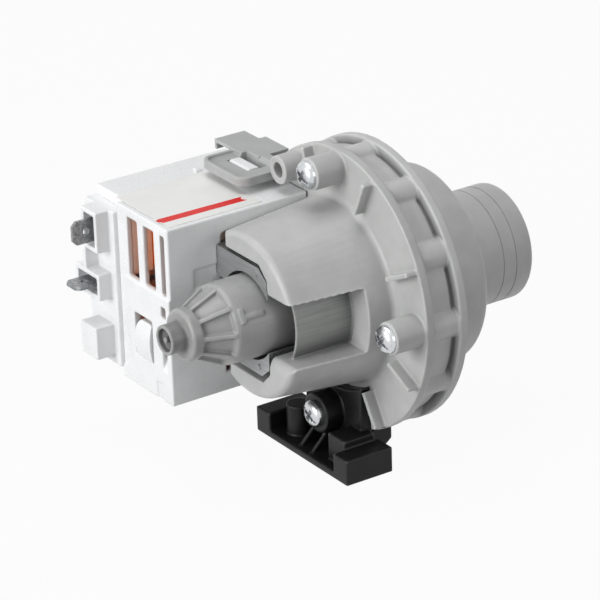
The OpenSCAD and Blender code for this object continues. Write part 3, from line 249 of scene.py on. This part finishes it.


# talc-filled polypropylene, moulded: soft grey and satin, with a painted highlight at its edges. The greys go
# from the pale pump chamber to the dark end tube. The rotor well, nose cone and end tube are darker copies of
# the housing's grey as painted shade, and in the rotor well, where light hardly reaches, the painted shade in
# its corners is deepest
greyHousing = mouldedPlastic("greyPolypropyleneMoulded", "BBBCBB", "B3B4B3", 0.38, edgeHighlight="D2D3D2")
greyWellPaintedShade = mouldedPlastic("greyPolypropyleneRotorWellShaded", "A8A9A8", "9E9F9E", 0.36, crease=0.45, reach=6.0,
                          edgeHighlight="C6C7C6")
greyTubePaintedShade = mouldedPlastic("greyPolypropyleneNoseTubeShaded", "828382", "7A7B7A", 0.36, crease=0.6, edgeHighlight="B4B5B4")
greyNosePaintedShade = mouldedPlastic("greyPolypropyleneNoseConeShaded", "A2A3A2", "989998", 0.36, crease=0.5, reach=4.0,
                          edgeHighlight="BCBDBC")
greyVolute = mouldedPlastic("greyPolypropyleneVolute", "C6C7C6", "BEBFBE", 0.42, crease=0.5, reach=3.0,
                            edgeHighlight="D4D5D4")
greyLatch = mouldedPlastic("greyPolypropyleneLatch", "ACADAD", "A5A6A6", 0.40, edgeHighlight="C0C1C0")
# glass-filled polyester, moulded: clean white with a little more gloss
whiteCover = mouldedPlastic("whitePbtMoulded", "EFF0F1", "EAEBEC", 0.30, crease=0.8, depth=0.002, sheen=0.5)
# glass-filled nylon, moulded: near black, with a painted highlight in grey along its outer edges
blackFoot = mouldedPlastic("blackNylonMoulded", "1E1E1F", "161617", 0.38, crease=0.35, edgeHighlight="525354",
                           depth=0.016, sheen=0.22)
# unfilled polyester, moulded: a pale peach, brightened as painted light for the dim slots, with little painted
# shade in its corners
peachBobbinPaintedLight = mouldedPlastic("peachPbtBobbinPaintedLight", "FBE3D3", "F2D6C4", 0.45, crease=0.85)
# acetal without pigment, moulded: milky white, for the parts inside
innerWhite = mouldedPlastic("naturalAcetalMoulded", "E2E1DC", "D8D7D2", 0.4)
# nitrile rubber, moulded: dull black with broad, weak highlights
blackRubber = mouldedPlastic("nitrileRubberMoulded", "2A2A2A", "222222", 0.6, sheen=0.35)
# polyester film and ink, screen printed: smooth and even, with no painted shade in the corners. The ink shines
# less
labelFilm = mouldedPlastic("printedPolyesterFilm", "F0F0EE", "ECECEA", 0.35, crease=1.0, grain=0.6,
                           depth=0.001)
redInk = mouldedPlastic("redInkScreenPrinted", "E2231D", "D81B16", 0.40, crease=1.0, grain=0.6, depth=0.001,
                        sheen=0.25)

# across is the pitch of the marks, along is how often a mark changes in a metre of its length
# crease and reach set the painted shade in the sleeve's corners
drawLook = {"across": 0.5, "along": 60.0, "crease": 0.45, "reach": 6.0, "rough": 0.36, "vary": 0.06,
            "depth": 0.03}


def drawnPlastic(name, code, dark):
    # the housing's plastic with draw marks from the mould's core: a fine brushed look along the pump axis, with
    # deep painted shade in its corners
    mat, tree, shader = newMaterial(name)
    across = 1000 / drawLook["across"]
    lines = lineNoise(tree, (drawLook["along"], across, across), Roughness=0.7)
    tint = addNode(tree, "ShaderNodeValToRGB", {0: lines.outputs[0]},
                   [(0.35, linear(dark)), (0.65, linear(code))])
    colour = withPaintedShade(tree, tint, drawLook["reach"], drawLook["crease"], 0.35)
    tree.links.new(colour.outputs[2], shader.inputs["Base Color"])
    rough, vary = drawLook["rough"], drawLook["vary"]
    grained(tree, shader, lines, (rough + vary, rough - vary), 0.6, drawLook["depth"])
    shader.inputs["IOR"].default_value = plasticLook["ior"]
    return mat


# the sleeve's grey is darker than the housing's: painted shade
sleevePaintedShade = drawnPlastic("greyPolypropyleneDrawMarksShaded", "A6A8A6", "949694")

# stretch is how much longer than wide a line is, and reach is how far the painted shade comes out of a corner
metalLook = {"stretch": 40, "reach": 0.6, "glossier": 0.04, "duller": 0.08}


def metalSheet(name, code, dark, rough, along, pitch, depth, cornerShadeLevel=1.0, metallic=1.0):
    # rolled, ground or plated metal: fine lines one way in colour, gloss and height, darker in its corners by
    # painted shade
    mat, tree, shader = newMaterial(name)
    scales = [1000 / pitch] * 3
    scales[along] = 1000 / pitch / metalLook["stretch"]
    lines = lineNoise(tree, scales)
    tint = addNode(tree, "ShaderNodeValToRGB", {0: lines.outputs[0]},
                   [(0.3, linear(dark)), (0.7, linear(code))])
    colour = withPaintedShade(tree, tint, metalLook["reach"], cornerShadeLevel)
    tree.links.new(colour.outputs[2], shader.inputs["Base Color"])
    grained(tree, shader, lines, (rough + metalLook["duller"], rough - metalLook["glossier"]), 0.4, depth)
    shader.inputs["Metallic"].default_value = metallic
    return mat


# silicon steel, cold rolled and punched: mid grey with rolling lines, a little dulled by its oxide coat
rolledSteel = metalSheet("electricalSteelPunched", "BDBEBF", "A2A3A4", 0.38, alongY, 0.25, 0.004, cornerShadeLevel=0.55,
                         metallic=0.8)
# steel wire, cut and upset: the rivets are a paler grey than the sheets
rivetSteel = metalSheet("steelRivetUpset", "C4C5C6", "AAABAC", 0.34, alongX, 0.2, 0.004, cornerShadeLevel=0.8)
# stainless steel, ground: bright, with lines so fine that they only soften its highlights
groundSteel = metalSheet("stainlessSteelGround", "D5D8DA", "BFC2C4", 0.22, alongX, 0.08, 0.001)
# steel, zinc plated: bright silver, with painted shade in the cross and slot of the screws
brightZinc = metalSheet("zincPlatedSteelBright", "DCDEE0", "C4C7C9", 0.24, alongX, 0.3, 0.003, cornerShadeLevel=0.5)

tinLook = {"speck": 0.8, "tones": ("707274", "8D8F91", "B5B7B8"), "rough": (0.52, 0.36), "depth": 0.01,
           "metallic": 0.85}


def speckledTin():
    # tinned brass sheet gone dull: grey with small lighter and darker specks
    mat, tree, shader = newMaterial("tinnedBrassDull")
    place = addNode(tree, "ShaderNodeTexCoord")
    specks = addNode(tree, "ShaderNodeTexNoise", {"Vector": place.outputs["Object"]},
                     Scale=1000 / tinLook["speck"], Detail=4.0, Roughness=0.7)
    tones = [linear(code) for code in tinLook["tones"]]
    tint = addNode(tree, "ShaderNodeValToRGB", {0: specks.outputs[0]}, zip((0.3, 0.5, 0.72), tones))
    tree.links.new(tint.outputs[0], shader.inputs["Base Color"])
    grained(tree, shader, specks, tinLook["rough"], 0.5, tinLook["depth"])
    shader.inputs["Metallic"].default_value = tinLook["metallic"]
    return mat


dullTin = speckledTin()

wireLook = {"pitch": 0.5, "tones": ("9A3C0A", "E67014", "FF9E3E"), "rough": 0.34, "depth": 0.12,
            "metallic": 0.25}


def woundCopper():
    # enamelled copper wire, wound in layers: shiny orange ridges with dark furrows. The dark furrows are
    # painted shade between the turns, the pale ridge tops a painted highlight, and the tones are brightened as
    # painted light for the dim slots. The pitch is drawn at
    # 0.5 mm, coarser than the real 0.25 mm, so that it shows
    mat, tree, shader = newMaterial("enamelledCopperWound")
    place = addNode(tree, "ShaderNodeTexCoord")
    turns = addNode(tree, "ShaderNodeTexWave", {"Vector": place.outputs["Object"]}, wave_type="BANDS",
                    bands_direction="Y", wave_profile="SIN", Scale=1000 / wireLook["pitch"] / (2 * math.pi),
                    Distortion=0.4, Detail=1.0)
    tones = [linear(code) for code in wireLook["tones"]]
    tint = addNode(tree, "ShaderNodeValToRGB", {0: turns.outputs[0]}, zip((0.05, 0.5, 0.95), tones))
    tree.links.new(tint.outputs[0], shader.inputs["Base Color"])
    bump = addNode(tree, "ShaderNodeBump", {"Height": turns.outputs[0]}, Strength=0.8,
                   Distance=wireLook["depth"] * mm)
    tree.links.new(bump.outputs[0], shader.inputs["Normal"])
    shader.inputs["Metallic"].default_value = wireLook["metallic"]
    shader.inputs["Roughness"].default_value = wireLook["rough"]
    return mat


copperWire = woundCopper()

ferriteLook = {"grain": 0.5, "tones": ("333539", "46484C"), "rough": 0.55}


def sinteredFerrite():
    # sintered ferrite, ground to size: charcoal grey and dry, with a fine grain
    mat, tree, shader = newMaterial("ferriteSinteredGround")
    place = addNode(tree, "ShaderNodeTexCoord")
    grain = addNode(tree, "ShaderNodeTexNoise", {"Vector": place.outputs["Object"]},
                    Scale=1000 / ferriteLook["grain"], Detail=5.0)
    tones = [linear(code) for code in ferriteLook["tones"]]
    tint = addNode(tree, "ShaderNodeValToRGB", {0: grain.outputs[0]}, zip((0.3, 0.7), tones))
    tree.links.new(tint.outputs[0], shader.inputs["Base Color"])
    shader.inputs["Roughness"].default_value = ferriteLook["rough"]
    return mat


ferrite = sinteredFerrite()
print("materials made")


def addPrism(bm, outline, low, high, axis=alongX):
    # a closed prism along one axis from an outline in the other two, taken in the order x, y, z
    ends = []
    for level in (low, high):
        ring = []
        for one, two in outline:
            point = [one, two]
            point.insert(axis, level)
            ring.append(bm.verts.new([c * mm for c in point]))
        ends.append(ring)
    bm.faces.new(ends[0])
    bm.faces.new(list(reversed(ends[1])))
    for i in range(len(outline)):
        j = (i + 1) % len(outline)
        bm.faces.new((ends[0][j], ends[0][i], ends[1][i], ends[1][j]))


def addArcPlate(bm, x0, x1, inner, outer, start, end, steps=6):
    # a curved plate about the pump axis, angles from +Y towards +Z
    turns = [math.radians(start + (end - start) * i / steps) for i in range(steps + 1)]
    outline = [(outer * math.cos(t), outer * math.sin(t)) for t in turns]
    outline += [(inner * math.cos(t), inner * math.sin(t)) for t in reversed(turns)]
    addPrism(bm, outline, x0, x1)


# the pole pieces are stacks of punched sheets with a shadow line between each two. The sheets are drawn
# 0.5 mm apart with gaps of 0.2 mm, coarser than real ones, so that they show. A block whose outline lies
# further in by the sink closes the gaps
core = {"sheet": 0.5, "gap": 0.2, "x0": -54.1, "count": 36, "tipReach": 8.8, "tipChamfer": 3.4,
        "tipDrop": 2.7, "halfHeight": 14.3, "poleWidth": 8.0, "bore": 11.2, "boreSteps": 24, "yoke": 35.0,
        "sink": 0.8}


def poleOutline(side, inset=0.0):
    # one sheet's outline in (y, z), from the pole tip to the yoke and back round the bore
    reach, bore, far = core["tipReach"] - inset, core["bore"] + inset, core["yoke"] - inset
    zTop, zIn = core["halfHeight"] - inset, core["halfHeight"] - core["poleWidth"] + inset
    low = math.sqrt(bore ** 2 - reach ** 2)
    points = [(-reach, low), (-reach, zTop - core["tipDrop"]), (-reach + core["tipChamfer"], zTop),
              (far, zTop), (far, zIn)]
    start, end = math.asin(zIn / bore), math.pi - math.asin(low / bore)
    for i in range(core["boreSteps"]):
        turn = start + (end - start) * i / core["boreSteps"]
        points.append((bore * math.cos(turn), bore * math.sin(turn)))
    return [(y, side * z) for y, z in points]


bm = bmesh.new()
stackEnd = core["x0"] + core["count"] * core["sheet"]
for side in (-1, 1):
    for i in range(core["count"]):
        x = core["x0"] + i * core["sheet"]
        addPrism(bm, poleOutline(side), x, x + core["sheet"] - core["gap"])
    addPrism(bm, poleOutline(side, core["sink"]), core["x0"] + core["gap"] / 2, stackEnd - core["gap"])
bmesh.ops.recalc_face_normals(bm, faces=bm.faces)
toObject("coreLaminations", bm, rolledSteel, "pump", ("core_poles",), smooth=25)
print("laminations stacked")

# small raised marks that belong to the mouldings: a raised T on the rotor well, and on the stator cover the
# pointed nib on its top and a pip at its front edge. Plates are (x0, x1, inner, outer, start, end) and prisms
# are (outline, low, high, axis)
wellPlates = [(-61.6, -55.4, 9.6, 10.62, 151.5, 157.0), (-62.0, -60.7, 9.6, 10.62, 141.0, 161.0)]
topNib = [(-42.4, 39.9), (-40.5, 40.2), (-41.2, 42.8)]
frontPip = [(-53.3, 9.15), (-52.9, 9.0), (-52.45, 9.2), (-52.35, 9.55), (-52.5, 9.95), (-53.0, 10.1)]
marks = {
    "motor_housing": {"plates": wellPlates},
    "stator_cover": {"prisms": [(topNib, 21.0, 22.0, alongZ), (frontPip, 12.55, 13.4, alongY)]},
}

# the skin of a moulding is eased in so many rounds, and the weight keeps its flat faces evenly shaded
easing = {"factor": 0.5, "rounds": 3, "flatWeight": 60}


def moulded(node, mat, body, voxel, keep, clipX=None):
    # a fine skin over the CAD solid, eased so that each edge and inner corner gets its moulded radius.
    # What lies past clipX is cut off, and the cut is closed
    bm = bmesh.new()
    bm.from_mesh(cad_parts[node].data)
    bmesh.ops.remove_doubles(bm, verts=bm.verts, dist=sameSpot)
    if clipX is not None:
        bmesh.ops.bisect_plane(bm, geom=bm.verts[:] + bm.edges[:] + bm.faces[:],
                               plane_co=(clipX * mm, 0, 0), plane_no=(1, 0, 0), clear_outer=True)
        bmesh.ops.holes_fill(bm, edges=[edge for edge in bm.edges if edge.is_boundary], sides=0)
    if node in marks:
        side = bmesh.new()
        for plate in marks[node].get("plates", []):
            addArcPlate(side, *plate)
        for prism in marks[node].get("prisms", []):
            addPrism(side, *prism)
        bmesh.ops.recalc_face_normals(side, faces=side.faces)
        more = bpy.data.meshes.new(node + "Marks")
        side.to_mesh(more)
        side.free()
        bm.from_mesh(more)
        bpy.data.meshes.remove(more)
    skin = bpy.data.meshes.new(node)
    bm.to_mesh(skin)
    bm.free()
    temp = bpy.data.objects.new(node + "Skin", skin)
    bpy.context.scene.collection.objects.link(temp)
    step = temp.modifiers.new("skin", "REMESH")
    step.mode = "VOXEL"
    step.voxel_size = voxel * mm
    step = temp.modifiers.new("ease", "SMOOTH")
    step.factor = easing["factor"]
    step.iterations = easing["rounds"]
    step = temp.modifiers.new("thin", "DECIMATE")
    step.ratio = keep
    graph = bpy.context.evaluated_depsgraph_get()
    mesh = bpy.data.meshes.new_from_object(temp.evaluated_get(graph))
    bpy.data.objects.remove(temp)
    mesh.name = node + "Moulded"
    mesh.shade_smooth()
    mesh.materials.clear()
    mesh.materials.append(mat)
    obj = bpy.data.objects.new(node + "Moulded", mesh)
    bpy.context.scene.collection.objects.link(obj)
    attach(obj, body)
    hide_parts(node)
    flat = obj.modifiers.new("flatFaces", "WEIGHTED_NORMAL")
    flat.weight = easing["flatWeight"]
    return obj


skins = {  # node: material, body, voxel, share of the triangles kept, and where it is clipped
    "motor_housing": (greyHousing, "pump", 0.25, 0.25, None),
    "stator_latch": (greyLatch, "latch", 0.2, 0.5, None),
    "stator_cover": (whiteCover, "pump", 0.25, 0.25, None),
    "snap_tongue": (whiteCover, "tongue", 0.2, 0.5, None),
    "terminal_housing": (whiteCover, "pump", 0.22, 0.5, None),
    "foot_bracket": (blackFoot, "pump", 0.28, 0.4, None),
    "volute_housing": (greyVolute, "pump", 0.27, 0.2, 1.2),
}
made = {}
for node, (mat, body, voxel, keep, clipX) in skins.items():
    made[node] = moulded(node, mat, body, voxel, keep, clipX)

# parts of the motor housing given darker copies of its grey as painted shade: the end tube, the ribbed nose,
# the rotor well, and the sleeve behind the window. Each lies between two places along the axis and two radii,
# and reaches half its angle to both sides of -Y. A face gets the shaded tint of the first one that holds its
# middle
pastEnd = -80.0
zones = [
    {"shadedTint": greyTubePaintedShade, "from": pastEnd, "to": -73.4, "inner": 0.0, "outer": 4.2, "half": 180.0},
    {"shadedTint": greyNosePaintedShade, "from": pastEnd, "to": -63.3, "inner": 0.0, "outer": 11.4, "half": 180.0},
    {"shadedTint": greyWellPaintedShade, "from": pastEnd, "to": -27.2, "inner": 0.0, "outer": 11.4, "half": 180.0},
    {"shadedTint": sleevePaintedShade, "from": -51.0, "to": -33.8, "inner": 14.6, "outer": 16.5, "half": 30.0},
]
mesh = made["motor_housing"].data
for zone in zones:
    mesh.materials.append(zone["shadedTint"])
for face in mesh.polygons:
    middle = face.center / mm
    out = math.hypot(middle.y, middle.z)
    away = abs(math.degrees(math.atan2(middle.z, -middle.y)))
    for number, zone in enumerate(zones, 1):
        if (zone["from"] < middle.x < zone["to"] and zone["inner"] <= out < zone["outer"]
                and away <= zone["half"]):
            face.material_index = number
            break

# the inlet spigot is a turned tube with a rounded end and two seal lines. lip is how far its inner edge is cut
# back along the radius and the axis, and lineSlope is the width of a seal line's sloped sides
spigot = {"outer": 15.0, "wall": 2.2, "start": 0.6, "end": 22.0, "round": 1.6, "roundSteps": 8,
          "lip": (0.15, 0.4), "lines": (12.3, 16.2), "lineWide": 0.35, "lineDeep": 0.14, "lineSlope": 0.05,
          "segments": 128, "smooth": 40}


def turned(name, profile, mat):
    # a closed ring turned about the pump axis from a loop of (x, radius)
    bm = bmesh.new()
    rings = []
    for i in range(spigot["segments"]):
        turn = 2 * math.pi * i / spigot["segments"]
        rings.append([bm.verts.new((x * mm, rad * math.cos(turn) * mm, rad * math.sin(turn) * mm))
                      for x, rad in profile])
    for i in range(spigot["segments"]):
        one, two = rings[i], rings[(i + 1) % spigot["segments"]]
        for j in range(len(profile)):
            k = (j + 1) % len(profile)
            bm.faces.new((one[j], one[k], two[k], two[j]))
    bmesh.ops.recalc_face_normals(bm, faces=bm.faces)
    return toObject(name, bm, mat, smooth=spigot["smooth"])


outer, inner = spigot["outer"], spigot["outer"] - spigot["wall"]
lineFloor = outer - spigot["lineDeep"]
profile = [(spigot["start"], outer)]
for x in spigot["lines"]:
    lineEnd = x + spigot["lineWide"]
    profile += [(x, outer), (x + spigot["lineSlope"], lineFloor),
                (lineEnd - spigot["lineSlope"], lineFloor), (lineEnd, outer)]
for i in range(spigot["roundSteps"] + 1):
    turn = math.radians(90 - i * 90 / spigot["roundSteps"])
    profile.append((spigot["end"] - spigot["round"] + spigot["round"] * math.cos(turn),
                    outer - spigot["round"] + spigot["round"] * math.sin(turn)))
lipOut, lipBack = spigot["lip"]
profile += [(spigot["end"] - lipOut, inner + lipOut), (spigot["end"] - lipBack, inner),
            (spigot["start"], inner)]
turned("inletSpigot", profile, greyVolute)
print("housings moulded")

# faces that turn by less than the flat angle are one face, and edges that turn by more than the sharp angle
# are rounded, both in degrees
edges = {"flat": 0.6, "sharp": 32, "segments": 2}


def dressed(node, mat, radius, prisms):
    # a copy of the node's mesh with its flat faces joined and its edges rounded
    bm = bmesh.new()
    bm.from_mesh(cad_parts[node].data)
    bmesh.ops.remove_doubles(bm, verts=bm.verts, dist=sameSpot)
    bmesh.ops.dissolve_limit(bm, angle_limit=math.radians(edges["flat"]), verts=bm.verts, edges=bm.edges)
    for prism in prisms:
        addPrism(bm, *prism)
    if prisms:
        bmesh.ops.recalc_face_normals(bm, faces=bm.faces)
    obj = toObject(node + "Dressed", bm, mat, replaces=(node,), smooth=edges["sharp"])
    mod = obj.modifiers.new("edgeRadius", "BEVEL")
    mod.width = radius * mm
    mod.segments = edges["segments"]
    mod.limit_method = "ANGLE"
    mod.angle_limit = math.radians(edges["sharp"])
    mod.use_clamp_overlap = True
    mod.harden_normals = True
    return obj


# each bobbin also has a thin wall that carries its wire ends to the tabs, seen through the last cooling slot
carrier = {"near": 31.8, "far": 32.8, "x0": -66.6, "x1": -61.0, "low": 3.0, "high": 20.0}
wall = [(carrier["x0"], carrier["near"]), (carrier["x1"], carrier["near"]), (carrier["x1"], carrier["far"]),
        (carrier["x0"], carrier["far"])]
rounded = {  # node: material, edge radius and added prisms
    "bobbin_upper": (peachBobbinPaintedLight, 0.12, [(wall, carrier["low"], carrier["high"], alongZ)]),
    "bobbin_lower": (peachBobbinPaintedLight, 0.12, [(wall, -carrier["high"], -carrier["low"], alongZ)]),
    "terminal_upper": (dullTin, 0.08, []),
    "terminal_lower": (dullTin, 0.08, []),
    "flange_screws": (brightZinc, 0.1, []),
}
for node, (mat, radius, prisms) in rounded.items():
    dressed(node, mat, radius, prisms)
print("metal parts dressed")

# the label's plain stripe, a film of ink with slanted ends
stripe = {"outline": [(-66.9, 19.7), (-66.0, 17.7), (-42.0, 17.3), (-42.9, 18.6), (-42.1, 19.9),
                      (-65.9, 20.4)],
          "base": 21.5, "top": 21.56}
bm = bmesh.new()
addPrism(bm, stripe["outline"], stripe["base"], stripe["top"], alongZ)
bmesh.ops.recalc_face_normals(bm, faces=bm.faces)
toObject("labelStripe", bm, redInk, "pump")
print("label printed")

plain = {  # nodes that keep the shape of their CAD
    "joint_oring": blackRubber, "rear_bearing_seat": blackRubber, "shaft_seal": blackRubber,
    "bearing_plate": innerWhite, "rotor_hub": innerWhite, "thrust_washer": innerWhite,
    "drive_dog": innerWhite, "thermal_cutout": innerWhite, "front_bearing": ferrite,
    "rear_bearing": ferrite, "rotor_magnet": ferrite, "rotor_shaft": groundSteel,
    "impeller_keeper": groundSteel, "impeller": greyLatch, "dog_cover": greyLatch,
    "core_yoke": rolledSteel, "core_rivets": rivetSteel, "coil_upper": copperWire,
    "coil_lower": copperWire, "rating_label": labelFilm,
}
for node, mat in plain.items():
    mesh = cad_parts[node].data
    mesh.materials.clear()
    mesh.materials.append(mat)
print("inner parts given their materials")
